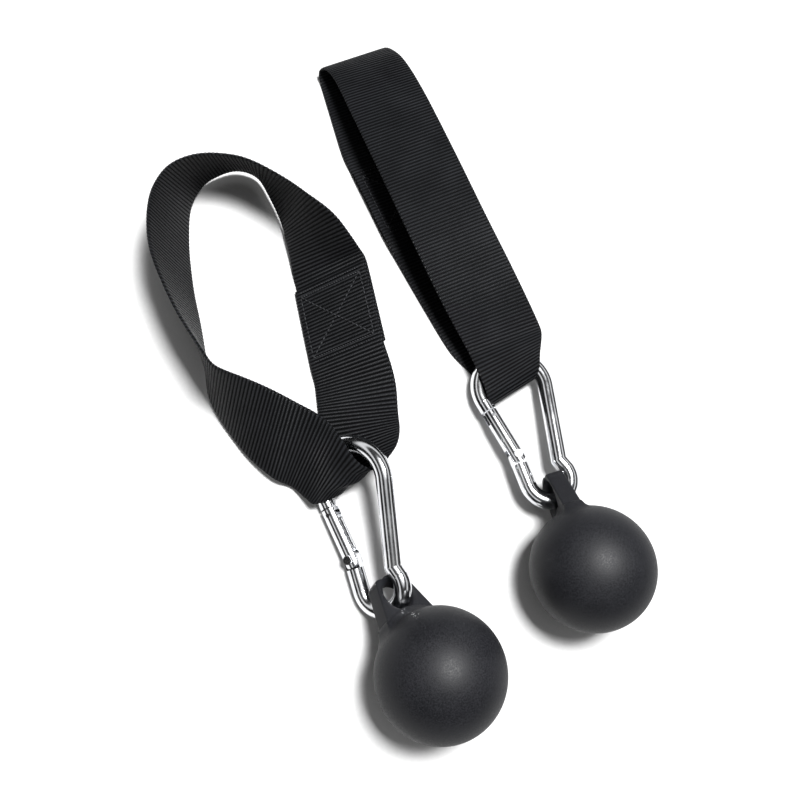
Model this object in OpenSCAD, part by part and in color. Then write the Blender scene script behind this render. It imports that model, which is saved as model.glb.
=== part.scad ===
// A pair of ball grips. Each one is a webbing loop, a snap hook and a ball with an eye.
// Units are millimetres. +Z is up and +Y runs from the balls to the far ends of the
// webbing loops. The origin is on the floor, under the middle of the pair.

/* [Balls] */
// Diameter of each grip ball
ball_d = 67; // [60:1:80]
// Distance from the middle of the ball to the tip of its eye
eye_reach = 56; // [55:0.5:70]
// Distance from the middle of the ball to the middle of the hole in the eye
eye_hole_at = 45.5; // [44:0.5:56]
// Diameter of the hole in the eye
eye_hole_d = 17; // [15:0.5:19]
// Thickness of the eye plate
eye_t = 10; // [6:0.5:11]
// Width of the eye plate at its tip
eye_tip_w = 22; // [20:0.5:28]
// Width of the eye plate where it meets the ball
eye_root_w = 36; // [28:0.5:40]

/* [Snap hooks] */
// Diameter of the rod each hook is bent from
rod_d = 9.5; // [8:0.25:10]
// Radius of the wide end, to the middle of the rod
crown_r = 20.25; // [18:0.25:24]
// Radius of the narrow end, to the middle of the rod
heel_r = 12.75; // [11:0.25:16]
// Distance from the middle of the narrow end across to the back leg
back_leg_at = 8.2; // [7:0.2:10]
// Distance from the middle of the narrow end up to where the wide end begins
back_leg_top = 56.4; // [52:0.2:64]

/* [Gates] */
// Length of each gate above its pivot
gate_len = 29.5; // [26:0.5:31]
// Radius of the bore in the gate
gate_bore_r = 3; // [2.5:0.1:3.4]
// Thickness of the flattened ends of the rod
tongue_t = 4; // [3:0.1:4.5]
// Diameter of the rivet that the gate turns on
rivet_d = 3; // [2.4:0.1:3.6]
// Diameter of the pin that the nose of the hook catches
latch_pin_d = 2.4; // [2:0.1:2.8]

/* [Webbing] */
// Width of the webbing
web_w = 50; // [44:1:56]
// Thickness of the webbing
web_t = 1.8; // [1.2:0.1:2]
// Diameter of the sewing thread
thread_d = 0.9; // [0.5:0.1:1.2]

/* [Hidden] */
$fn = 64;
rod_r = rod_d / 2;
ball_r = ball_d / 2;
fixed_gap = 0.04;     // round parts that are held fast
turning_gap = 0.07;   // round parts that turn or slide
side_gap = 0.2;       // flat cheeks beside a tongue
loose_gap = 0.35;     // parts that pass each other

black_web = [0.07, 0.07, 0.08];
black_plastic = [0.1, 0.1, 0.11];
steel = [0.8, 0.8, 0.82];

// Where a ball sits: its middle, the roll, dip and heading of its eye.
left_ball_pose = [[13.2, -178.2, ball_r], [32.6, 20.4, 115.4]];
right_ball_pose = [[99.8, -129.7, ball_r], [81.7, 18.6, 101.7]];

// Where a hook sits: the middle of its narrow end, and its turns about X, Y and Z.
left_hook_pose = [[-11.2, -133.4, 14.1], [9.7, -41.8, 5]];
right_hook_pose = [[87.2, -77.9, 16], [-5.4, -3.1, 10.9]];

// Turns a direction, then carries a point, the way rotate() and translate() do.
function about_x(v, a) = [v.x, v.y * cos(a) - v.z * sin(a), v.y * sin(a) + v.z * cos(a)];
function about_y(v, a) = [v.x * cos(a) + v.z * sin(a), v.y, v.z * cos(a) - v.x * sin(a)];
function about_z(v, a) = [v.x * cos(a) - v.y * sin(a), v.x * sin(a) + v.y * cos(a), v.z];
function turned(v, turns) = about_z(about_y(about_x(v, turns.x), turns.y), turns.z);
function carried(p, pose) = pose[0] + turned(p, pose[1]);

module placed(pose) {
    translate(pose[0])
        rotate(pose[1])
            children();
}

// Stands the back leg at its lean within the hook's pose.
module hooked(pose) {
    placed(pose)
        rotate([0, 0, -hook_lean])
            children();
}

// ---------- Snap hook: X to the back leg, Y along the back leg, Z out of its plane ----------
// The narrow end is round the origin.

hook_lean = 8.1;      // turn between the back leg and the hook's own length
crown = [back_leg_at - crown_r, back_leg_top];
pivot = [-16.5, 15];
to_crown = crown - pivot;

// The neck is a short slanting run from the back leg to the narrow end.
neck_turn = 26;
neck_from = [back_leg_at, 10.5];
neck_to = heel_r * [cos(neck_turn), sin(neck_turn)];
neck_lean = atan2(neck_to.x - neck_from.x, neck_from.y - neck_to.y);

// The gate leg runs from the pivot and touches the wide end.
gate_lean = asin(crown_r / norm(to_crown)) - atan2(to_crown.x, to_crown.y);
gate_top = sqrt(pow(norm(to_crown), 2) - pow(crown_r, 2));
nose_root = crown + crown_r * [cos(180 + gate_lean), sin(180 + gate_lean)];

// The hinge end leaves the narrow end on a line to the pivot.
hinge_turn = atan2(pivot.y, pivot.x) + acos(heel_r / norm(pivot));
hinge_len = sqrt(pow(norm(pivot), 2) - pow(heel_r, 2));
hinge_lean = hinge_turn - 180;
hinge_root = heel_r * [cos(hinge_turn), sin(hinge_turn)];

tongue_r = 4.4;       // round end of the hinge tongue
tongue_flat = 3.4;    // flat on the tongue that the plunger presses
shoulder_at = 5.4;    // where the full rod begins, below the pivot
nose_at = gate_len + 0.8;   // where the full rod begins, above the pivot
nose_tip = gate_len - 6.4;  // lower end of the nose tongue
nose_half = 3.3;      // half the width of the nose tongue
slot_floor = nose_tip - 0.7;  // lower end of the gate's slot for the nose
bore_floor = slot_floor - 1;  // closed end of the bore for the plunger and spring
pin_at = gate_len - 3.2;

// A round bar along +Y.
module bar(from, to, r) {
    translate([0, from, 0])
        rotate([-90, 0, 0])
            cylinder(h = to - from, r = r);
}

// A bent rod about the origin, from one angle to another.
module bend(bend_r, from, to) {
    rotate([0, 0, from])
        rotate_extrude(angle = to - from)
            translate([bend_r, 0])
                circle(r = rod_r);
}

module at_pivot() {
    translate([pivot.x, pivot.y, 0])
        rotate([0, 0, gate_lean])
            children();
}

// How far a cut, or a piece that joins another, runs past the face it meets.
overrun = 1;

module hinge_tongue() {
    difference() {
        union() {
            intersection() {
                cylinder(h = tongue_t, r = tongue_r, center = true);
                translate([-tongue_r, -tongue_r, -tongue_t])
                    cube([2 * tongue_r, tongue_r + tongue_flat, 2 * tongue_t]);
            }
            rotate([0, 0, hinge_lean - gate_lean])
                translate([-tongue_r, -shoulder_at - overrun, -tongue_t / 2])
                    cube([2 * tongue_r, shoulder_at + overrun, tongue_t]);
        }
        cylinder(h = 2 * tongue_t, r = rivet_d / 2 + turning_gap, center = true);
    }
}

// The flattened nose, with a notch open to the inside for the latch pin.
module nose_tongue() {
    notch_r = latch_pin_d / 2 + loose_gap;
    difference() {
        translate([-nose_half, nose_tip, -tongue_t / 2])
            cube([2 * nose_half, nose_at + overrun - nose_tip, tongue_t]);
        translate([0, pin_at, 0])
            cylinder(h = 2 * tongue_t, r = notch_r, center = true);
        translate([0, pin_at - notch_r, -tongue_t])
            cube([nose_half + overrun, 2 * notch_r, 2 * tongue_t]);
    }
}

bead_r = rod_r + 0.05;

// A straight run of rod that starts in a bead a hair wider than itself.
module run_from(p, lean, from, to) {
    translate([p.x, p.y, 0]) {
        sphere(r = bead_r);
        rotate([0, 0, lean])
            bar(from, to, rod_r);
    }
}

module hook() {
    color(steel) {
        translate([crown.x, crown.y, 0])
            bend(crown_r, 0, 180 + gate_lean);
        translate([back_leg_at, 0, 0])
            bar(neck_from.y, back_leg_top, rod_r);
        run_from(neck_from, neck_lean - 180, 0, norm(neck_to - neck_from));
        translate([neck_to.x, neck_to.y, 0])
            sphere(r = bead_r);
        bend(heel_r, hinge_turn, 360 + neck_turn);
        run_from(hinge_root, hinge_lean, 0, hinge_len - shoulder_at);
        run_from(nose_root, gate_lean, nose_at - gate_top, 0);
        at_pivot() {
            hinge_tongue();
            nose_tongue();
        }
    }
}

module gate_blank() {
    bar(0, gate_len, rod_r);
    intersection() {
        bar(-rod_r, 0, rod_r);
        cylinder(h = rod_d + overrun, r = rod_r, center = true);
    }
}

module gate() {
    slot_t = tongue_t + 2 * side_gap;
    color(steel)
        at_pivot()
            difference() {
                gate_blank();
                bar(-rod_d, bore_floor, gate_bore_r);
                translate([-rod_d, -rod_d, -slot_t / 2])
                    cube([2 * rod_d, rod_d + tongue_r + loose_gap, slot_t]);
                translate([-rod_d, slot_floor, -slot_t / 2])
                    cube([2 * rod_d, gate_len, slot_t]);
                cylinder(h = 2 * rod_d, r = rivet_d / 2 + fixed_gap, center = true);
                translate([0, pin_at, 0])
                    cylinder(h = 2 * rod_d, r = latch_pin_d / 2 + fixed_gap, center = true);
            }
}

rivet_head_t = 0.8;
rivet_head_r = 2.4;
rivet_head_gap = 0.1;   // between each rivet head and the gate
module rivet() {
    head_from = rod_r + rivet_head_gap;
    color(steel)
        at_pivot() {
            cylinder(h = 2 * head_from + rivet_head_gap, r = rivet_d / 2, center = true);
            for (side = [-1, 1])
                translate([0, 0, side * (head_from + rivet_head_t / 2)])
                    cylinder(h = rivet_head_t, r = rivet_head_r, center = true);
        }
}

latch_pin_set_in = 0.3;   // how far each end lies below the gate's surface
module latch_pin() {
    color(steel)
        at_pivot()
            translate([0, pin_at, 0])
                cylinder(h = rod_d - 2 * latch_pin_set_in, r = latch_pin_d / 2, center = true);
}

plunger_foot = tongue_flat + 0.15;
plunger_len = 5;
plunger_travel = 1.5;   // from the plunger to the middle of the spring's first turn
module plunger() {
    color(steel)
        at_pivot()
            bar(plunger_foot, plunger_foot + plunger_len, gate_bore_r - turning_gap);
}

// A round wire coil along the bore.
spring_wire_r = 0.4;
spring_turns = 6;
spring_foot = plunger_foot + plunger_len + plunger_travel;
bore_end_gap = 0.5;     // between the spring and the closed end of the bore
spring_len = bore_floor - bore_end_gap - spring_foot;
module spring() {
    bore_gap = 0.3;
    coil_r = gate_bore_r - spring_wire_r - bore_gap;
    wire_sides = 8;
    steps_per_turn = 14;
    n = steps_per_turn * spring_turns;
    corners = [
        for (i = [0 : n])
            for (k = [0 : wire_sides - 1])
                let (
                    turn = 360 * spring_turns * i / n,
                    reach = coil_r + spring_wire_r * cos(360 * k / wire_sides)
                )
                [
                    reach * cos(turn),
                    spring_foot + spring_len * i / n
                        + spring_wire_r * sin(360 * k / wire_sides),
                    -reach * sin(turn)
                ]
    ];
    walls = [
        for (i = [0 : n - 1])
            for (k = [0 : wire_sides - 1])
                let (
                    a = wire_sides * i + k,
                    b = wire_sides * i + (k + 1) % wire_sides
                )
                each [[a, b, b + wire_sides], [a, b + wire_sides, a + wire_sides]]
    ];
    first_end = [for (k = [wire_sides - 1 : -1 : 0]) k];
    last_end = [for (k = [0 : wire_sides - 1]) wire_sides * n + k];
    color(steel)
        at_pivot()
            polyhedron(points = corners, faces = concat(walls, [first_end, last_end]));
}

// ---------- Ball and eye: X along the eye, Z out of the eye plate ----------

eye_corner_r = 3.5;
eye_root_at = ball_r * 0.85;  // where the eye plate stops widening
eye_foot_at = 12;             // where the eye plate ends inside the ball

module eye_outline(grow) {
    corner_at = eye_reach - eye_corner_r;
    corner_mid = eye_tip_w / 2 - eye_corner_r;
    tip_half = eye_tip_w / 2 + grow;
    root_half = eye_root_w / 2 + grow;
    for (side = [-1, 1])
        translate([corner_at, side * corner_mid])
            circle(r = eye_corner_r + grow);
    translate([corner_at, -corner_mid])
        square([eye_corner_r + grow, 2 * corner_mid]);
    polygon([
        [corner_at, tip_half],
        [eye_root_at, root_half],
        [eye_foot_at, root_half],
        [eye_foot_at, -root_half],
        [eye_root_at, -root_half],
        [corner_at, -tip_half]
    ]);
}

// A round hole whose rim is rounded over on both faces.
module eyelet_cutter() {
    rim_r = 3;
    rotate_extrude()
        difference() {
            translate([0, -eye_t])
                square([eye_hole_d / 2 + rim_r, 2 * eye_t]);
            for (side = [-1, 1])
                translate([eye_hole_d / 2 + rim_r, side * (eye_t / 2 - rim_r)])
                    circle(r = rim_r);
            translate([eye_hole_d / 2, rim_r - eye_t / 2])
                square([rim_r + overrun, eye_t - 2 * rim_r]);
        }
}

// The moulded core: the eye plate outside, an anchor plate and a stem inside.
stem_r = 9;
stem_len = 30;
anchor_r = 15;
anchor_t = 5;
anchor_at = -12;      // far face of the anchor plate, past the middle of the ball

module core_blank(grow) {
    linear_extrude(height = eye_t + 2 * grow, center = true)
        eye_outline(grow);
    rotate([0, 90, 0])
        translate([0, 0, anchor_at - grow]) {
            cylinder(h = stem_len + grow, r = stem_r + grow);
            cylinder(h = anchor_t + 2 * grow, r = anchor_r + grow);
        }
}

module core() {
    color(black_plastic)
        difference() {
            core_blank(0);
            translate([eye_hole_at, 0, 0])
                eyelet_cutter();
        }
}

module ball() {
    color(black_plastic)
        difference() {
            rotate([0, 0, 180])
                sphere(r = ball_r);
            core_blank(fixed_gap);
        }
}

// ---------- Webbing ----------
// A station is [middle of the band, direction across it, width, thickness].

function smooth(a, b, c, d, t) =
    0.5 * (2 * b + (c - a) * t + (2 * a - 5 * b + 4 * c - d) * t * t
    + (3 * b - a - 3 * c + d) * t * t * t);
function unit(v) = v / norm(v);
function wrap(i, n) = (i + n) % n;

// Smooth sections through closed stations, with steps sections for each station.
function sections(stations, steps) =
    let (n = len(stations))
    [
        for (i = [0 : n - 1])
            for (s = [0 : steps - 1])
                let (four = [for (j = [-1 : 2]) stations[wrap(i + j, n)]])
                [
                    for (k = [0 : 3])
                        smooth(four[0][k], four[1][k], four[2][k], four[3][k], s / steps)
                ]
    ];

module band(stations, steps) {
    rings = sections(stations, steps);
    n = len(rings);
    corners = [
        for (i = [0 : n - 1])
            let (
                ahead = rings[wrap(i + 1, n)][0] - rings[wrap(i - 1, n)][0],
                across = unit(rings[i][1]) * rings[i][2] / 2,
                up = unit(cross(ahead, across)) * rings[i][3] / 2
            )
            for (corner = [-across - up, across - up, across + up, up - across])
                rings[i][0] + corner
    ];
    sides = [
        for (i = [0 : n - 1])
            for (k = [0 : 3])
                let (
                    a = 4 * i + k,
                    b = 4 * i + (k + 1) % 4,
                    c = 4 * wrap(i + 1, n) + (k + 1) % 4,
                    d = 4 * wrap(i + 1, n) + k
                )
                each [[a, b, c], [a, c, d]]
    ];
    color(black_web)
        polyhedron(points = corners, faces = sides);
}

// Moves stations given in a hook's own frame to where that hook sits.
function on_hook(stations, pose) = [
    for (s = stations)
        [carried(s[0], pose), turned(s[1], pose[1]), s[2], s[3]]
];

// A straight, flat, doubled stretch that reaches a little past the sewing at each end.
function seam(from, to, across) = [
    for (t = [-0.2 : 0.2 : 1.2])
        [from + (to - from) * t, across, web_w, 2 * web_t]
];

left_seam_from = [-26.4, 1, 17.4];
left_seam_to = [-32.1, 34.4, 17.4];
left_seam_across = [0.8, 0.137, 0.6];

right_seam_from = [22.9, 90.4, 3.2];
right_seam_to = [9.7, 121.7, 3.2];
right_seam_across = [0.92, 0.39, 0];

// Passes through the hook and turns round the rod of its wide end.
fold_w = 28;
left_fold = [
    [[-18, 75.5, 15.5], [0.69, 0.69, 0.22], web_w, web_t],
    [[-9, 68, 10.5], [0.85, 0.5, 0.1], 39, web_t],
    [[-5, 63, 7.2], [0.95, 0.33, 0], 31, web_t],
    [[-4, 57.2, 4.6], [0.95, 0.33, 0], fold_w, web_t],
    [[-4, 55.4, 0], [0.95, 0.33, 0], fold_w, web_t],
    [[-4, 57.2, -4.6], [0.95, 0.33, 0], fold_w, web_t],
    [[-3.5, 64, -6.9], [0.98, 0.2, 0], 31, web_t],
    [[-2, 77, -8.6], [1, -0.05, 0], 41, web_t]
];

left_stations = concat([
    [[-20.6, -41.2, 16.9], [0.78, -0.07, 0.62], 48, web_t],
    [[-21.3, -27.4, 16.9], [0.8, 0.02, 0.6], web_w, web_t],
    [[-23.2, -16, 17.2], [0.8, 0.08, 0.6], web_w, web_t]
], seam(left_seam_from, left_seam_to, left_seam_across), [
    [[-35.3, 48.5, 18.8], [0.75, 0.06, 0.66], web_w, web_t],
    [[-39.2, 56, 22.5], [0.62, -0.04, 0.78], web_w, web_t],
    [[-46, 68.3, 26.1], [0.46, -0.09, 0.88], web_w, web_t],
    [[-54.6, 79.2, 28], [0.23, -0.16, 0.96], web_w, web_t],
    [[-64, 91.6, 27.6], [0.1, -0.37, 0.92], web_w, web_t],
    [[-76.7, 102.8, 28], [-0.1, -0.35, 0.93], web_w, web_t],
    [[-90, 106, 28], [-0.14, -0.36, 0.92], web_w, web_t],
    [[-103.9, 102.4, 28.2], [-0.17, -0.28, 0.94], web_w, web_t],
    [[-114.4, 95.5, 27.3], [-0.27, -0.24, 0.93], web_w, web_t],
    [[-121, 83.2, 26.3], [-0.31, -0.18, 0.93], web_w, web_t],
    [[-122.9, 65.9, 25.4], [-0.37, -0.01, 0.93], web_w, web_t],
    [[-121.9, 48, 25.2], [-0.4, 0.03, 0.92], web_w, web_t],
    [[-118.9, 32.6, 25.4], [-0.37, 0.03, 0.93], web_w, web_t],
    [[-111.6, 10.5, 26.2], [-0.22, -0.13, 0.97], web_w, web_t],
    [[-103.5, -12.6, 26.9], [-0.04, -0.05, 1], web_w, web_t],
    [[-100.2, -23.5, 26.9], [0.05, 0.05, 1], web_w, web_t],
    [[-94.8, -30.6, 26.4], [0.09, 0.2, 0.98], web_w, web_t],
    [[-85.5, -38.7, 24.9], [0.13, 0.4, 0.91], web_w, web_t],
    [[-74.4, -47.3, 23.7], [0.19, 0.56, 0.8], web_w, web_t],
    [[-61.1, -56.6, 23.6], [0.21, 0.66, 0.72], web_w, web_t]
], on_hook(left_fold, left_hook_pose));

right_fold = [
    [[-2, 78, 8.1], [0.97, 0.22, 0], 46, web_t],
    [[-3, 65, 6.9], [0.95, 0.33, 0], 32, web_t],
    [[-4, 57.2, 4.6], [0.94, 0.34, 0], fold_w, web_t],
    [[-4, 55.4, 0], [0.94, 0.34, 0], fold_w, web_t],
    [[-4, 57.2, -4.6], [0.94, 0.34, 0], fold_w, web_t],
    [[-3, 65, -6.7], [0.95, 0.3, -0.01], 32, web_t],
    [[-2, 79, -7], [0.96, 0.28, -0.02], 44, web_t]
];

right_stations = concat([
    [[-9.8, 196.2, 10.5], [0.88, 0.46, -0.1], web_w, web_t],
    [[-4, 183.5, 17.4], [0.9, 0.42, -0.06], web_w, web_t],
    [[5.4, 154.9, 24.1], [0.91, 0.41, 0], web_w, web_t],
    [[21.4, 110.6, 27.7], [0.91, 0.41, 0], web_w, web_t],
    [[36.7, 72, 27], [0.91, 0.4, 0], web_w, web_t],
    [[53.2, 36.2, 22.4], [0.92, 0.38, 0.02], web_w, web_t],
    [[68, 8, 15.8], [0.94, 0.34, 0.03], web_w, web_t]
], on_hook(right_fold, right_hook_pose), [
    [[61.5, 13.6, 1.5], [0.9, 0.43, 0], web_w, web_t],
    [[46.5, 42, 1.4], [0.9, 0.44, 0], web_w, web_t],
    [[32, 71, 2], [0.91, 0.41, 0], web_w, web_t]
], seam(right_seam_from, right_seam_to, right_seam_across), [
    [[1.5, 142, 2], [0.91, 0.41, 0], web_w, web_t],
    [[-6.5, 174.3, 1.5], [0.9, 0.43, 0], web_w, web_t],
    [[-11.3, 193.7, 1.8], [0.89, 0.45, 0], web_w, web_t],
    [[-13.3, 199.4, 5.2], [0.88, 0.46, -0.05], web_w, web_t]
]);

web_steps = 4;
module left_strap() {
    band(left_stations, web_steps);
}

module right_strap() {
    band(right_stations, web_steps);
}

thread_lift = 0.12;   // keeps the straight rows of thread clear of the webbing

// Sewn box with a cross in it, on both faces of a seam.
module seam_stitching(from, to, across) {
    ahead = unit(to - from);
    side = unit(across - ahead * (across * ahead));
    up = cross(side, ahead);
    mid = (from + to) / 2;
    edge_to_row = 5;
    half_w = web_w / 2 - edge_to_row;
    half_l = norm(to - from) / 2;
    half_diagonal = norm([half_w, half_l]);
    lift = web_t + thread_d / 2 + thread_lift;
    corner_at = atan2(half_w, half_l);
    color(black_web)
        multmatrix([
            [side.x, ahead.x, up.x, mid.x],
            [side.y, ahead.y, up.y, mid.y],
            [side.z, ahead.z, up.z, mid.z]
        ])
            for (face = [-1, 1])
                translate([0, 0, face * lift]) {
                    for (s = [-1, 1]) {
                        translate([s * half_w, 0, 0])
                            bar(-half_l, half_l, thread_d / 2);
                        translate([0, s * half_l, 0])
                            rotate([0, 0, 90])
                                bar(-half_w, half_w, thread_d / 2);
                        rotate([0, 0, s * corner_at])
                            bar(-half_diagonal, half_diagonal, thread_d / 2);
                    }
                }
}

module left_stitching() {
    seam_stitching(left_seam_from, left_seam_to, left_seam_across);
}

module right_stitching() {
    seam_stitching(right_seam_from, right_seam_to, right_seam_across);
}

left_strap();
left_stitching();
hooked(left_hook_pose) hook();  // left_hook
hooked(left_hook_pose) gate();  // left_gate
hooked(left_hook_pose) rivet();  // left_rivet
hooked(left_hook_pose) latch_pin();  // left_latch_pin
hooked(left_hook_pose) plunger();  // left_plunger
hooked(left_hook_pose) spring();  // left_spring
placed(left_ball_pose) core();  // left_core
placed(left_ball_pose) ball();  // left_ball
right_strap();
right_stitching();
hooked(right_hook_pose) hook();  // right_hook
hooked(right_hook_pose) gate();  // right_gate
hooked(right_hook_pose) rivet();  // right_rivet
hooked(right_hook_pose) latch_pin();  // right_latch_pin
hooked(right_hook_pose) plunger();  // right_plunger
hooked(right_hook_pose) spring();  // right_spring
placed(right_ball_pose) core();  // right_core
placed(right_ball_pose) ball();  // right_ball
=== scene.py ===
"""A pair of ball grips: ribbed webbing loops, steel snap hooks and matt black balls."""

import math

import bpy
import numpy as np
from mathutils import Euler, Matrix, Vector

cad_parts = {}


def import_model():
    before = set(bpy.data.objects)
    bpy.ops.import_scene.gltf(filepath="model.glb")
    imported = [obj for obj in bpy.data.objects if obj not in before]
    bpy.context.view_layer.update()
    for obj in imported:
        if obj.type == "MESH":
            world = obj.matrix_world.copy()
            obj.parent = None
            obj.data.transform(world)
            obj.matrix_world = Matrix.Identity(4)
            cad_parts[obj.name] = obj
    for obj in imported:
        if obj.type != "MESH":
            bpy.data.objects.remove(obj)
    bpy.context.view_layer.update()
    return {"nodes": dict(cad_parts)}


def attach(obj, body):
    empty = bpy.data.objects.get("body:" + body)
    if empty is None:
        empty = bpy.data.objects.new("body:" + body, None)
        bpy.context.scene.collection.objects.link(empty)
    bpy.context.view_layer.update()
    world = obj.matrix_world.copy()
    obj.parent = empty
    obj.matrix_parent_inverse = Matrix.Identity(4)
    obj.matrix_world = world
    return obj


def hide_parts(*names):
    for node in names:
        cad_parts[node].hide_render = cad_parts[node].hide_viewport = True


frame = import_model()
MM = 0.001


# ---------- Materials ----------

NOISE_RANGE = (0.3, 0.7)  # where most of a noise lies


class Shader:
    """A material whose nodes are made and joined by short calls."""

    def __init__(self, name, **settings):
        self.material = bpy.data.materials.new(name)
        self.material.use_nodes = True
        self.tree = self.material.node_tree
        self.surface = self.tree.nodes["Principled BSDF"]
        for socket, value in settings.items():
            self.surface.inputs[socket.replace("_", " ")].default_value = value

    def node(self, kind, *inputs, **settings):
        """A node whose inputs are filled in order with numbers, colours or other outputs."""
        made = self.tree.nodes.new("ShaderNode" + kind)
        for name, value in settings.items():
            setattr(made, name, value)
        for socket, value in zip(made.inputs, inputs):
            self.put(socket, value)
        return made

    def put(self, socket, value):
        """Joins another node's output to the socket, or sets a plain value there."""
        if isinstance(value, bpy.types.NodeSocket):
            self.tree.links.new(value, socket)
        else:
            socket.default_value = value

    def math(self, operation, *inputs):
        return self.node("Math", *inputs, operation=operation).outputs[0]

    def wave(self, value):
        """Rounded ridges, one for each whole number."""
        return self.math("ABSOLUTE", self.math("SINE", self.math("MULTIPLY", value, math.pi)))

    def noise(self, scale, detail=3.0):
        """Noise in the piece's own space; scale is how many of its features fit in a metre."""
        made = self.node("TexNoise")
        self.put(made.inputs["Vector"], self.node("TexCoord").outputs["Object"])
        made.inputs["Scale"].default_value = scale
        made.inputs["Detail"].default_value = detail
        return made.outputs[0]

    def ramp(self, value, *stops):
        """Colours or greys at positions: each stop is (position, (r, g, b))."""
        made = self.node("ValToRGB", value)
        elements = made.color_ramp.elements
        for element, (position, colour) in zip(elements, (stops[0], stops[-1])):
            element.position = position
            element.color = (*colour, 1)
        for position, colour in stops[1:-1]:
            elements.new(position).color = (*colour, 1)
        return made.outputs[0]

    def colour(self, value, *stops):
        self.put(self.surface.inputs["Base Color"], self.ramp(value, *stops))

    def roughness(self, value, low, high):
        """Roughness from low to high, over the range where most of a noise lies."""
        made = self.node("MapRange", value, *NOISE_RANGE, low, high)
        self.put(self.surface.inputs["Roughness"], made.outputs[0])

    def bump(self, height, depth, strength=1.0):
        made = self.node("Bump")
        made.inputs["Strength"].default_value = strength
        made.inputs["Distance"].default_value = depth
        self.put(made.inputs["Height"], height)
        self.put(self.surface.inputs["Normal"], made.outputs[0])

    def weave(self):
        """Where a point is across and along its piece, from the piece's UV layer."""
        parts = self.node("SeparateXYZ", self.node("UVMap", uv_map="weave").outputs[0])
        return parts.outputs[0], parts.outputs[1]


RIB_PITCH = 2.05 * MM
YARN_PITCH = 0.75 * MM


def webbing_material():
    """Black grosgrain: ribs across it, each wrapped by fine yarns that step from rib to rib; its colour
    has painted shade in the grooves and painted highlight on the rib and yarn tops.
    """
    made = Shader("webbing", Specular_IOR_Level=0.045)
    across, along = made.weave()
    rib = made.math("DIVIDE", along, RIB_PITCH)
    step = made.math("MULTIPLY", made.math("FLOOR", rib), 0.5)
    yarn = made.math("ADD", made.math("DIVIDE", across, YARN_PITCH), step)
    rib_top = made.wave(rib)
    yarn_top = made.wave(yarn)
    fuzz = made.noise(scale=900, detail=4)
    wear = made.noise(scale=55, detail=4)
    weave = made.math("MULTIPLY", yarn_top, rib_top)
    made.bump(made.math("MULTIPLY_ADD", fuzz, 0.35, weave), depth=0.22 * MM)
    # painted shade and highlight: rib and yarn tops are coloured lighter and the grooves darker, where
    # light and shade would fall; the wear noise adds random tone
    ribs = made.math("MULTIPLY_ADD", rib_top, 0.65, made.math("MULTIPLY", yarn_top, 0.1))
    shade = made.math("MULTIPLY_ADD", wear, 0.25, ribs)
    made.colour(
        shade,
        (0.3, (0.0005, 0.0005, 0.0006)),
        (0.65, (0.003, 0.0032, 0.0037)),
        (0.9, (0.0145, 0.0153, 0.0172)),
    )
    made.roughness(rib_top, low=0.75, high=0.32)
    return made.material


def thread_material():
    """Twisted black thread."""
    made = Shader("thread", Specular_IOR_Level=0.2)
    around, along = made.weave()
    made.bump(made.wave(made.math("ADD", around, along)), depth=0.06 * MM)
    shade = made.noise(scale=400)
    made.colour(shade, (0.3, (0.007, 0.007, 0.008)), (0.7, (0.026, 0.027, 0.03)))
    made.roughness(made.noise(scale=150), low=0.35, high=0.5)
    return made.material


def steel_material():
    """Bright plated steel with a polishing haze and a very fine grain."""
    made = Shader("plated_steel", Metallic=1.0)
    haze = made.noise(scale=60, detail=5)
    grain = made.noise(scale=700)
    made.colour(
        haze,
        (0.3, (0.62, 0.63, 0.65)),
        (0.5, (0.74, 0.75, 0.77)),
        (0.7, (0.83, 0.84, 0.85)),
    )
    dull = made.math("MULTIPLY_ADD", grain, 0.35, made.math("MULTIPLY", haze, 0.65))
    made.roughness(dull, low=0.1, high=0.2)
    made.bump(grain, depth=0.004 * MM, strength=0.5)
    return made.material


def plastic_material(name, grain_size, depth):
    """Moulded matt black plastic with a fine frosted grain."""
    made = Shader(name, Specular_IOR_Level=0.2)
    grain = made.noise(scale=1 / grain_size, detail=2)
    cloud = made.noise(scale=45, detail=4)
    mottle = made.math("MULTIPLY_ADD", grain, 0.7, made.math("MULTIPLY", cloud, 0.3))
    made.colour(mottle, (0.38, (0.0032, 0.0034, 0.0045)), (0.62, (0.0085, 0.0088, 0.0108)))
    made.roughness(mottle, low=0.44, high=0.66)
    made.bump(grain, depth)
    return made.material


# ---------- Mesh helpers ----------


def mesh_piece(name, points, faces, material, uv=None):
    """A smooth-shaded piece; uv holds a pair of numbers for each point."""
    mesh = bpy.data.meshes.new(name)
    mesh.from_pydata([tuple(p) for p in points], [], [tuple(f) for f in faces])
    mesh.polygons.foreach_set("use_smooth", [True] * len(mesh.polygons))
    if uv is not None:
        layer = mesh.uv_layers.new(name="weave")
        corner = np.empty(len(mesh.loops), dtype=np.int32)
        mesh.loops.foreach_get("vertex_index", corner)
        layer.data.foreach_set("uv", np.asarray(uv, dtype=np.float32)[corner].ravel())
    mesh.materials.append(material)
    piece = bpy.data.objects.new(name, mesh)
    bpy.context.scene.collection.objects.link(piece)
    return piece


def grid_faces(rows, columns, wrap_rows=False):
    """Quads of a grid whose columns close round; its rows close round too if wrap_rows."""
    row = np.arange(rows if wrap_rows else rows - 1)[:, None]
    column = np.arange(columns)[None, :]
    after = (row + 1) % rows
    beside = (column + 1) % columns
    corners = (
        row * columns + column,
        row * columns + beside,
        after * columns + beside,
        after * columns + column,
    )
    return np.stack(np.broadcast_arrays(*corners), axis=-1).reshape(-1, 4)


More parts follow.
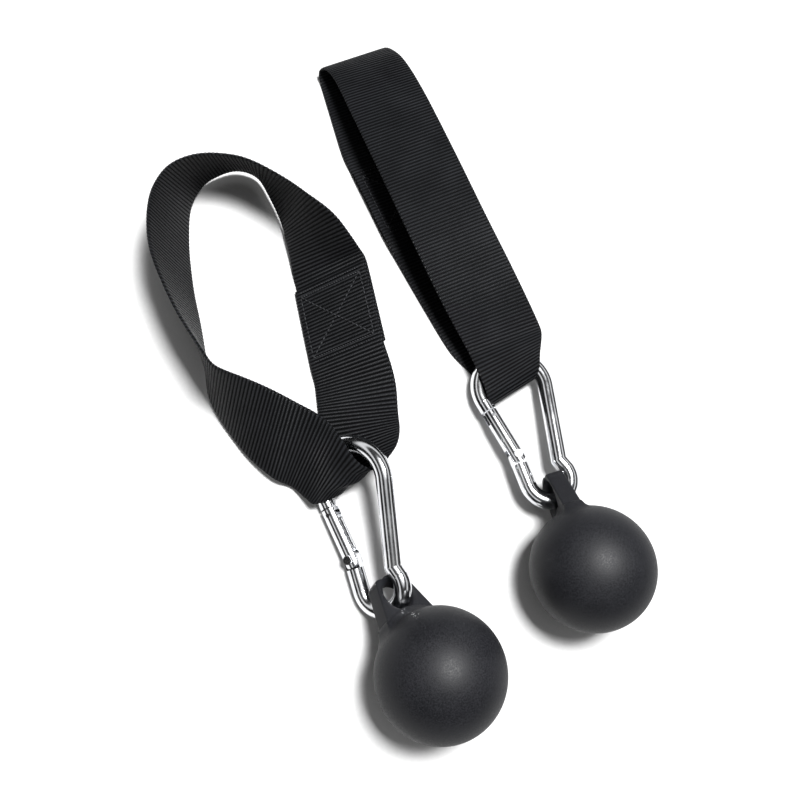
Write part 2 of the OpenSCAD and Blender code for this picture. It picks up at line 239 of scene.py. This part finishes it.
def through(stations, steps):
    """Smooth rows through the stations, with steps rows for each gap."""
    rows = np.asarray(stations, dtype=float)
    rows = np.vstack([2 * rows[0] - rows[1], rows, 2 * rows[-1] - rows[-2]])
    a, b, c, d = (rows[i : len(rows) - 3 + i, None, :] for i in range(4))
    t = np.linspace(0, 1, steps, endpoint=False)[None, :, None]
    curve = 0.5 * (
        2 * b
        + (c - a) * t
        + (2 * a - 5 * b + 4 * c - d) * t**2
        + (3 * b - a - 3 * c + d) * t**3
    )
    return np.vstack([curve.reshape(-1, rows.shape[1]), rows[-2]])


EASED_ROWS = 41
BELL_REACH = 2.5  # in widths of the smoothing bell, from its middle to where it is cut off


def eased(values):
    """Evenly spaced values with their small kinks smoothed out; the ends stay put."""
    bell = np.exp(-np.linspace(-BELL_REACH, BELL_REACH, EASED_ROWS) ** 2)
    spare = EASED_ROWS // 2
    before = 2 * values[0] - values[spare:0:-1]
    after = 2 * values[-1] - values[-2 : -spare - 2 : -1]
    longer = np.concatenate([before, values, after])
    return np.convolve(longer, bell / bell.sum(), mode="valid")


def unit(vectors):
    return vectors / np.linalg.norm(vectors, axis=-1, keepdims=True)


def smooth_step(value, low, high):
    """Rises gently from 0 at low to 1 at high."""
    t = np.clip((value - low) / (high - low), 0, 1)
    return t * t * (3 - 2 * t)


def own_frame(middle, turns):
    """The matrix from a part's own frame to the row's, in millimetres; turns are in degrees."""
    turns = [math.radians(a) for a in turns]
    return Matrix.Translation(Vector(middle)) @ Euler(turns).to_matrix().to_4x4()


# ---------- Webbing ----------

WEB_WIDTH = 50 * MM
WEB_THICKNESS = 1.2 * MM
RIB_HEIGHT = 0.9 * MM
RIB_FULLNESS = 0.6  # lower is squarer
FULL_THICKNESS = WEB_THICKNESS + RIB_HEIGHT
ROWS_PER_RIB = 5
ROWS_PER_STATION = 40  # of the smooth curve that the evenly spaced rows are taken from
POINTS_ACROSS = 25
SEAM_LENGTH = 47.5 * MM  # the first and the last stretch of a strip, which are sewn together
SEAM_EASE = 14 * MM  # the way over which the two layers come together beside the seam
LAYER_GAP = 0.1 * MM
SELVEDGE = 0.9  # where the scalloped edge begins, as a share of the half width
SCALLOP = 0.008  # how far the edge stands out at each rib, as a share of the half width
EDGE_POWER = 24  # higher keeps the webbing at full thickness nearer to its edge
EDGE_LEAST = 0.1  # the square of the thickness left near the edge, as a share of the full one


class Webbing:
    """One strip of webbing that goes once round its loop and is sewn to itself.

    A station is the middle of the strip, the direction across it and its width there. The first
    and the last stretch of the strip lie on each other. Where the strip is gathered narrower than
    it was woven, it ripples; the pleat is how deep, as a share of the width that is lost.
    """

    def __init__(self, stations, pleat):
        knots = [[*middle, *across, width] for middle, across, width in stations]
        rows = through(knots, ROWS_PER_STATION)
        steps = np.linalg.norm(np.diff(rows[:, :3], axis=0), axis=1)
        length = np.concatenate([[0], np.cumsum(steps)])
        count = int(length[-1] * MM / RIB_PITCH * ROWS_PER_RIB)
        even = np.linspace(0, length[-1], count)
        rows = np.stack([eased(np.interp(even, length, column)) for column in rows.T], axis=1)
        self.along = even * MM
        self.length = length[-1] * MM
        self.middle = rows[:, :3] * MM
        self.across = unit(rows[:, 3:6])
        self.width = rows[:, 6] * MM
        self.up = unit(np.cross(np.gradient(self.middle, axis=0), self.across))
        self.pleat = pleat
        self.part_layers()
        self.stay_above_floor()

    def part_layers(self):
        """Lifts the first stretch and lowers the last one, so that they lie face to face."""
        last_from = self.length - SEAM_LENGTH
        first = 1 - smooth_step(self.along, SEAM_LENGTH, SEAM_LENGTH + SEAM_EASE)
        last = smooth_step(self.along, last_from - SEAM_EASE, last_from)
        lift = (first - last) * (FULL_THICKNESS + LAYER_GAP) / 2
        self.middle += self.up * lift[:, None]

    def stay_above_floor(self):
        """Lifts the rows whose lower edge would dip into the floor."""
        reach_down = np.abs(self.across[:, 2]) * self.width / 2 + FULL_THICKNESS / 2
        self.middle[:, 2] = np.maximum(self.middle[:, 2], reach_down)

    def surface(self, share, lift):
        """Points at a share of the half width from the middle, lifted off the middle layer."""
        share, lift = np.broadcast_arrays(share, lift)
        side = self.across[:, None] * (share * self.width[:, None] / 2)[..., None]
        return self.middle[:, None] + side + self.up[:, None] * lift[..., None]

    def build(self, name, material):
        """The strip as a closed thin skin, ribbed alike on both faces."""
        top_share = np.sin(np.linspace(-0.5, 0.5, POINTS_ACROSS) * math.pi)
        share = np.concatenate([top_share, top_share[-2:0:-1]])
        face = np.concatenate([np.ones(POINTS_ACROSS), -np.ones(POINTS_ACROSS - 2)])
        face[[0, POINTS_ACROSS - 1]] = 0  # the two edges, between the faces
        rib = np.abs(np.sin(self.along / RIB_PITCH * math.pi)) ** RIB_FULLNESS
        half = (WEB_THICKNESS + RIB_HEIGHT * rib) / 2
        thinning = np.sqrt(np.clip(1 - np.abs(share) ** EDGE_POWER, EDGE_LEAST, 1))
        lift = half[:, None] * face * thinning
        scallop = 1 + SCALLOP * rib[:, None] * (np.abs(share) > SELVEDGE)
        ripple = np.outer(self.pleat * (WEB_WIDTH - self.width), np.cos(2 * math.pi * share))
        points = self.surface(share * scallop, lift + ripple)
        rows, columns = lift.shape
        uv = np.stack(np.broadcast_arrays(share * WEB_WIDTH / 2, self.along[:, None]), axis=-1)
        faces = grid_faces(rows, columns).tolist()
        faces.append(list(range(columns))[::-1])
        faces.append([(rows - 1) * columns + k for k in range(columns)])
        return mesh_piece(name, points.reshape(-1, 3), faces, material, uv.reshape(-1, 2))

    def between(self, rows, along):
        """What the rows hold at a distance along the strip."""
        return np.array([np.interp(along, self.along, column) for column in rows.T])

    def spot(self, across, along, lift):
        """The point at that distance across and along the strip, lifted off the middle layer."""
        side = self.between(self.across, along)
        up = unit(self.between(self.up, along))
        return self.between(self.middle, along) + side * across + up * lift


THREAD_RADIUS = 0.38 * MM
ROW_PITCH = 1.7 * MM
LINE_PITCH = 2.8 * MM
STITCH_SHARE = 0.78  # how much of its pitch a stitch covers
STITCH_RINGS = 7
STITCH_SIDES = 8
STITCH_DIP = 0.8  # how far its ends dip, as a share of the thread's radius
STITCH_TIP = 0.35  # how thick its ends are, as a share of the thread
STITCH_LIFT = 0.3  # how far off the ribs it is set, as a share of the thread's radius


def stitch(strip, start, end, lift):
    """The points of one stitch between two spots: a rounded bar that dips at its ends."""
    ahead = (end - start) / STITCH_RINGS
    points = []
    for k in range(STITCH_RINGS):
        share = k / (STITCH_RINGS - 1)
        bulge = math.sin(share * math.pi)
        spot = start + (end - start) * share
        surface = strip.spot(*spot, lift)
        up = unit(surface - strip.spot(*spot, 0))
        beside = unit(np.cross(strip.spot(*(spot + ahead), lift) - surface, up))
        centre = surface + up * (bulge - STITCH_DIP) * THREAD_RADIUS
        radius = THREAD_RADIUS * (STITCH_TIP + (1 - STITCH_TIP) * bulge)
        for side in range(STITCH_SIDES):
            angle = 2 * math.pi * side / STITCH_SIDES
            points.append(centre + (beside * math.cos(angle) + up * math.sin(angle)) * radius)
    return points


def stitch_line(strip, start, end, lift, pitch):
    """The points of a row of stitches along a straight line on the strip."""
    start, end = np.array(start), np.array(end)
    count = round(np.linalg.norm(end - start) / pitch)
    step = (end - start) / count
    bare = step * (1 - STITCH_SHARE) / 2
    points = []
    for k in range(count):
        points += stitch(strip, start + step * k + bare, start + step * (k + 1) - bare, lift)
    return points


ROW_FROM_END = 2.4 * MM
ROW_FROM_EDGE = 4 * MM
ROW_SPACING = 2.6 * MM


def box_stitching(strip, name, material):
    """The sewn box with a cross in it, on the open face of each layer."""
    half = WEB_WIDTH / 2 - ROW_FROM_EDGE
    first, last = ROW_FROM_END, SEAM_LENGTH - ROW_FROM_END
    second, last_but_one = first + ROW_SPACING, last - ROW_SPACING
    rows = [((-half, along), (half, along), ROW_PITCH) for along in (first, second, last_but_one, last)]
    sides = [((edge, second), (edge, last_but_one), LINE_PITCH) for edge in (-half, half)]
    cross = [((-edge, second), (edge, last_but_one), LINE_PITCH) for edge in (-half, half)]
    surface = FULL_THICKNESS / 2 + THREAD_RADIUS * STITCH_LIFT
    points = []
    for shift, lift in ((0, surface), (strip.length - SEAM_LENGTH, -surface)):
        for start, end, pitch in rows + sides + cross:
            moved = [(across, along + shift) for across, along in (start, end)]
            points += stitch_line(strip, *moved, lift, pitch)

    per_stitch = STITCH_RINGS * STITCH_SIDES
    count = len(points) // per_stitch
    one = grid_faces(STITCH_RINGS, STITCH_SIDES).tolist()
    one.append(list(range(STITCH_SIDES))[::-1])
    one.append(list(range(per_stitch - STITCH_SIDES, per_stitch)))
    faces = [[k * per_stitch + i for i in face] for k in range(count) for face in one]
    twist = [(side / STITCH_SIDES, ring) for ring in range(STITCH_RINGS) for side in range(STITCH_SIDES)]
    return mesh_piece(name, points, faces, material, twist * count)


def on_hook(stations, place):
    """Moves stations given in a hook's own frame to where that hook sits."""
    turn = place.to_3x3()
    return [(tuple(place @ Vector(m)), tuple(turn @ Vector(a)), w) for m, a, w in stations]


LEFT_HOOK = own_frame((-11.2, -133.4, 14.1), (9.7, -41.8, 5))
RIGHT_HOOK = own_frame((87.2, -77.9, 16), (-5.4, -3.1, 10.9))

# Each strip's stations, in millimetres. The seam is listed once and used at both ends of the
# strip, and the fold is given in its hook's own frame.
LEFT_SEAM = [
    ((-25.3, -5.8, 17.8), (0.73, 0.125, 0.67), 50),
    ((-28.9, 14.4, 17.8), (0.73, 0.125, 0.67), 50),
    ((-33.7, 41.2, 18), (0.72, 0.12, 0.68), 50),
]
LEFT_ROUND = [
    ((-36.1, 48.5, 19.4), (0.69, 0.06, 0.72), 50),
    ((-39.2, 56, 22.5), (0.62, -0.04, 0.78), 50),
    ((-46, 68.3, 26.1), (0.46, -0.09, 0.88), 50),
    ((-54.6, 79.2, 28), (0.23, -0.16, 0.96), 50),
    ((-63.8, 91.9, 27.8), (0.14, -0.32, 0.94), 50),
    ((-76.7, 102.8, 28), (-0.1, -0.35, 0.93), 50),
    ((-90, 106, 28), (-0.14, -0.36, 0.92), 50),
    ((-103.9, 102.4, 28.2), (-0.17, -0.28, 0.94), 50),
    ((-114.4, 95.5, 27.3), (-0.27, -0.24, 0.93), 50),
    ((-121, 83.2, 26.3), (-0.31, -0.18, 0.93), 50),
    ((-122.9, 65.9, 25.4), (-0.37, -0.01, 0.93), 50),
    ((-121.9, 48, 25.2), (-0.4, 0.03, 0.92), 50),
    ((-118.9, 32.6, 25.4), (-0.37, 0.03, 0.93), 50),
    ((-111.6, 10.5, 26.2), (-0.22, -0.13, 0.97), 50),
    ((-103.5, -12.6, 26.9), (-0.04, -0.05, 1), 50),
    ((-100.2, -23.5, 26.9), (0.05, 0.05, 1), 50),
    ((-94.8, -30.6, 26.4), (0.09, 0.2, 0.98), 50),
    ((-85.5, -38.7, 24.9), (0.13, 0.4, 0.91), 50),
    ((-74.4, -47.3, 23.7), (0.19, 0.56, 0.8), 50),
    ((-61.1, -56.6, 23.6), (0.21, 0.66, 0.72), 50),
]
LEFT_FOLD = [
    ((-19.3, 77.5, 13.1), (0.745, 0.63, 0.22), 49),
    ((-13.5, 67, 9.3), (0.75, 0.65, 0.08), 42),
    ((-10.5, 59.5, 6.2), (0.82, 0.56, -0.1), 34),
    ((-4.5, 57.5, 0), (0.92, 0.38, -0.08), 27),
    ((0, 60, -6.5), (0.94, 0.33, -0.07), 31),
    ((0.8, 65.8, -8.8), (0.98, 0.19, -0.04), 41),
    ((1.5, 73, -10.3), (0.99, 0.13, -0.01), 47),
]
LEFT_RUN = [
    ((-20.6, -41.2, 16.9), (0.78, -0.07, 0.62), 50),
    ((-21.3, -27.4, 16.9), (0.8, 0.02, 0.6), 50),
    ((-23.2, -16, 17.5), (0.76, 0.09, 0.65), 50),
]

RIGHT_SEAM = [
    ((25.5, 84.1, 2.6), (0.92, 0.39, 0), 50),
    ((16.3, 106.1, 3), (0.92, 0.39, 0), 50),
    ((7.1, 128, 2.8), (0.92, 0.39, 0), 50),
]
RIGHT_ROUND = [
    ((1.5, 142, 2), (0.91, 0.41, 0), 50),
    ((-6.5, 174.3, 1.5), (0.9, 0.43, 0), 50),
    ((-11.3, 193.7, 1.8), (0.89, 0.45, 0), 50),
    ((-13.3, 199.4, 5.2), (0.88, 0.46, -0.05), 50),
    ((-9.8, 196.2, 10.5), (0.88, 0.46, -0.1), 50),
    ((-4, 183.5, 17.4), (0.9, 0.42, -0.06), 50),
    ((5.4, 154.9, 24.1), (0.91, 0.41, 0), 50),
    ((21.4, 110.6, 27.7), (0.91, 0.41, 0), 50),
    ((36.7, 72, 27), (0.91, 0.4, 0), 50),
    ((53.2, 36.2, 22.4), (0.92, 0.38, 0.02), 50),
    ((68, 8, 15.8), (0.94, 0.34, 0.03), 48),
]
RIGHT_FOLD = [
    ((-2, 78, 8.1), (0.97, 0.22, 0), 46),
    ((-3, 66, 6.9), (0.95, 0.33, 0), 41),
    ((-4, 57.7, 4.6), (0.94, 0.34, 0), 38),
    ((-4, 55.4, 0), (0.94, 0.34, 0), 36),
    ((-4, 57.2, -4.6), (0.94, 0.34, 0), 36),
    ((-3, 65, -6.7), (0.95, 0.3, -0.01), 38),
    ((-2, 79, -7), (0.96, 0.28, -0.02), 45),
]
RIGHT_RUN = [
    ((61.5, 13.6, 1.5), (0.9, 0.43, 0), 50),
    ((46.5, 42, 1.6), (0.9, 0.44, 0), 50),
    ((34, 67, 2), (0.91, 0.41, 0), 50),
]


def webbing_loop(side, stations, pleat, cloth, sewing):
    """One loop of webbing with its stitching, in place of the plain CAD band."""
    strip = Webbing(stations, pleat)
    band = strip.build(f"{side}_webbing", cloth)
    thread = box_stitching(strip, f"{side}_thread", sewing)
    for piece, node in ((band, "strap"), (thread, "stitching")):
        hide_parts(f"{side}_{node}")
        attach(piece, f"{side}_loop")


# ---------- Balls and eyes ----------
# In a ball's own frame X runs along the eye and Z stands square to the eye plate.
# Sizes are in millimetres, and places along the eye are from the middle of the ball.

BALL_RADIUS = 33.5
BALL_RINGS = 130  # with the two poles
BALL_SIDES = 160
FILLET = 4.5  # the radius of the fillet where the ball meets the eye
FILLET_TOP = 0.9  # how much of its radius the fillet climbs
EYE_REACH = 56
EYE_SIDES = 180
HOLE_AT = 45.5
HOLE_RADIUS = 8.5
EYE_HALF = 5  # half the thickness of the plate
TIP_HALF = 11  # half the width of the plate at its tip
ROOT_HALF = 18  # half the width of the plate at its root
ROOT_AT = 28.5
FOOT_AT = 10  # where the plate ends, inside the ball
TIP_ROUND = 3.5
RIM_ROUND = 3
EDGE_ROUND = 1.1
ROUND_RINGS = 7  # in each rounded edge of the plate
OUTLINE_STEPS = 2000  # tried between the hole and the tip to find the plate's edge


LEFT_BALL = own_frame((13.2, -178.2, 33.5), (32.6, 20.4, 115.4))
RIGHT_BALL = own_frame((99.8, -129.7, 33.5), (81.7, 18.6, 101.7))


def placed(points, place):
    """Points in a piece's own millimetres, as metres in the row frame."""
    matrix = np.array(place)
    return (points @ matrix[:3, :3].T + matrix[:3, 3]) * MM


def eye_half_width(x):
    """Half the width of the eye plate at a distance from the ball's middle."""
    taper = np.interp(x, [ROOT_AT, EYE_REACH - TIP_ROUND], [ROOT_HALF, TIP_HALF])
    past = np.clip(x - (EYE_REACH - TIP_ROUND), 0, TIP_ROUND)
    return taper - TIP_ROUND + np.sqrt(TIP_ROUND**2 - past**2)


def outline_distance(angles):
    """How far the edge of the eye plate is from the middle of its hole, at each angle."""
    reach = np.linspace(HOLE_RADIUS, EYE_REACH, OUTLINE_STEPS)[:, None]
    x = HOLE_AT + reach * np.cos(angles)
    y = reach * np.sin(angles)
    inside = (np.abs(y) <= eye_half_width(x)) & (x <= EYE_REACH) & (x >= FOOT_AT)
    return reach[inside.sum(axis=0) - 1, 0]


def eye(side, place, material):
    """The eye plate, rounded round its hole and along its outer edge."""
    angles = np.linspace(0, 2 * math.pi, EYE_SIDES, endpoint=False)
    outer = outline_distance(angles)
    quarter = np.linspace(0, math.pi / 2, ROUND_RINGS)
    rings = []
    for a in quarter:
        rise = (EYE_HALF - RIM_ROUND) + RIM_ROUND * math.sin(a)
        rings.append((np.full_like(outer, HOLE_RADIUS + RIM_ROUND * (1 - math.cos(a))), rise))
    for share in (0.25, 0.5, 0.75):
        start = HOLE_RADIUS + RIM_ROUND
        rings.append((start + (outer - EDGE_ROUND - start) * share, EYE_HALF))
    for a in quarter[::-1]:
        rise = (EYE_HALF - EDGE_ROUND) + EDGE_ROUND * math.sin(a)
        rings.append((outer - EDGE_ROUND * (1 - math.cos(a)), rise))
    rings += [(reach, -rise) for reach, rise in rings[::-1]]
    reach = np.array([ring_reach for ring_reach, _ in rings])
    rise = np.array([[ring_rise] for _, ring_rise in rings])
    across = reach * np.sin(angles)
    away = HOLE_AT + reach * np.cos(angles)
    points = np.stack(np.broadcast_arrays(away, across, rise), axis=-1)
    points = placed(points.reshape(-1, 3), place)
    piece = mesh_piece(f"{side}_eye", points, grid_faces(len(rings), len(angles), True), material)
    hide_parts(f"{side}_core")
    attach(piece, f"{side}_grip")


def ball(side, place, material):
    """The ball, drawn up in a fillet round the root of the eye."""
    dips = np.linspace(0, math.pi, BALL_RINGS)[1:-1]
    turns = np.linspace(0, 2 * math.pi, BALL_SIDES, endpoint=False)
    dip, turn = (a.ravel() for a in np.meshgrid(dips, turns, indexing="ij"))
    ring = np.sin(dip)
    points = BALL_RADIUS * np.stack([np.cos(dip), ring * np.cos(turn), ring * np.sin(turn)], axis=-1)
    beside = np.maximum(np.abs(points[:, 1]) - ROOT_HALF, 0)
    above = np.maximum(np.abs(points[:, 2]) - EYE_HALF, 0)
    away = np.hypot(beside, above)
    near = np.clip(1 - away / FILLET, 0, 1)
    rise = FILLET * (1 - np.sqrt(1 - near**2)) * (points[:, 0] > 0)
    points[:, 0] += np.minimum(rise, FILLET * FILLET_TOP)
    points = np.vstack([points, [[BALL_RADIUS, 0, 0], [-BALL_RADIUS, 0, 0]]])
    faces = grid_faces(len(dips), len(turns)).tolist()
    top, bottom = len(points) - 2, len(points) - 1
    last = (len(dips) - 1) * len(turns)
    for k in range(len(turns)):
        after = (k + 1) % len(turns)
        faces.append([top, after, k])
        faces.append([bottom, last + k, last + after])
    piece = mesh_piece(f"{side}_ball_shell", placed(points, place), faces, material)
    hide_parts(f"{side}_ball")
    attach(piece, f"{side}_grip")


# ---------- Stage ----------


def camera():
    """Looks down from above, a little from the balls' side and from the left."""
    eye_point = Vector((-0.087, -0.156, 0.458))
    aim = Vector((0.0071, -0.0269, 0))
    up_hint = Vector((0, 0.9625, 0.2712))
    back = (eye_point - aim).normalized()
    right = up_hint.cross(back).normalized()
    up = back.cross(right)
    lens = bpy.data.cameras.new("camera")
    lens.lens = 37.45
    lens.sensor_width = 36
    lens.clip_start = 0.01
    made = bpy.data.objects.new("camera", lens)
    turn = Matrix((right, up, back)).transposed()
    made.matrix_world = Matrix.Translation(eye_point) @ turn.to_4x4()
    bpy.context.scene.collection.objects.link(made)
    bpy.context.scene.camera = made


def area_light(name, place, aim, size, power):
    """A rectangular lamp at a place, turned to face the aim."""
    lamp = bpy.data.lights.new(name, "AREA")
    lamp.shape = "RECTANGLE"
    lamp.size, lamp.size_y = size
    lamp.energy = power
    made = bpy.data.objects.new(name, lamp)
    made.location = place
    made.rotation_euler = (Vector(aim) - Vector(place)).to_track_quat("-Z", "Y").to_euler()
    bpy.context.scene.collection.objects.link(made)


def floor():
    """A pale matt sheet of card."""
    half = 2.5  # metres
    points = [(-half, -half, 0), (half, -half, 0), (half, half, 0), (-half, half, 0)]
    made = Shader("pale_card", Specular_IOR_Level=0.2)
    fibre = made.noise(scale=500)
    made.colour(fibre, (0.3, (0.44, 0.44, 0.44)), (0.7, (0.46, 0.46, 0.46)))
    made.roughness(fibre, low=0.75, high=0.85)
    piece = mesh_piece("floor", points, [(0, 1, 2, 3)], made.material)


# How bright the room is at heights from the horizon and all below it (0) to straight up (1).
ROOM_LIGHT = (
    (0, 0.01),
    (0.42, 0.015),
    (0.54, 0.95),
    (0.66, 0.95),
    (0.73, 0.03),
    (0.91, 0.03),
    (0.96, 0.75),
    (1, 0.85),
)


def world():
    """A dark room with bright bands, so that polished steel shows light and dark lines."""
    made = bpy.data.worlds.new("studio")
    made.use_nodes = True
    tree = made.node_tree
    place = tree.nodes.new("ShaderNodeTexCoord")
    parts = tree.nodes.new("ShaderNodeSeparateXYZ")
    ramp = tree.nodes.new("ShaderNodeValToRGB")
    ramp.color_ramp.interpolation = "EASE"
    stops = ramp.color_ramp.elements
    for height, light in ROOM_LIGHT:
        stop = stops.new(height) if height not in (0, 1) else stops[-1 if height else 0]
        stop.color = (light, light, light, 1)
    tree.links.new(place.outputs["Generated"], parts.inputs[0])
    tree.links.new(parts.outputs[2], ramp.inputs[0])
    tree.links.new(ramp.outputs[0], tree.nodes["Background"].inputs[0])
    bpy.context.scene.world = made


# ---------- The pair of grips ----------

camera()
floor()
world()
area_light("key", place=(0.14, 0.1, 1.3), aim=(0, 0, 0), size=(0.32, 0.32), power=50)
bpy.context.scene.view_settings.view_transform = "Standard"

cloth = webbing_material()
sewing = thread_material()
steel = steel_material()
ball_plastic = plastic_material("ball_plastic", grain_size=0.8 * MM, depth=0.045 * MM)
eye_plastic = plastic_material("eye_plastic", grain_size=0.5 * MM, depth=0.02 * MM)

left_round = LEFT_SEAM + LEFT_ROUND + on_hook(LEFT_FOLD, LEFT_HOOK) + LEFT_RUN + LEFT_SEAM
right_round = RIGHT_SEAM + RIGHT_ROUND + on_hook(RIGHT_FOLD, RIGHT_HOOK) + RIGHT_RUN + RIGHT_SEAM
webbing_loop("left", left_round, pleat=0.03, cloth=cloth, sewing=sewing)
webbing_loop("right", right_round, pleat=0, cloth=cloth, sewing=sewing)

for side, place in (("left", LEFT_BALL), ("right", RIGHT_BALL)):
    eye(side, place, eye_plastic)
    ball(side, place, ball_plastic)
    # The steel parts keep their CAD meshes.
    for part in ("hook", "gate", "rivet", "latch_pin", "plunger", "spring"):
        node = frame["nodes"][f"{side}_{part}"]
        node.data.materials.clear()
        node.data.materials.append(steel)
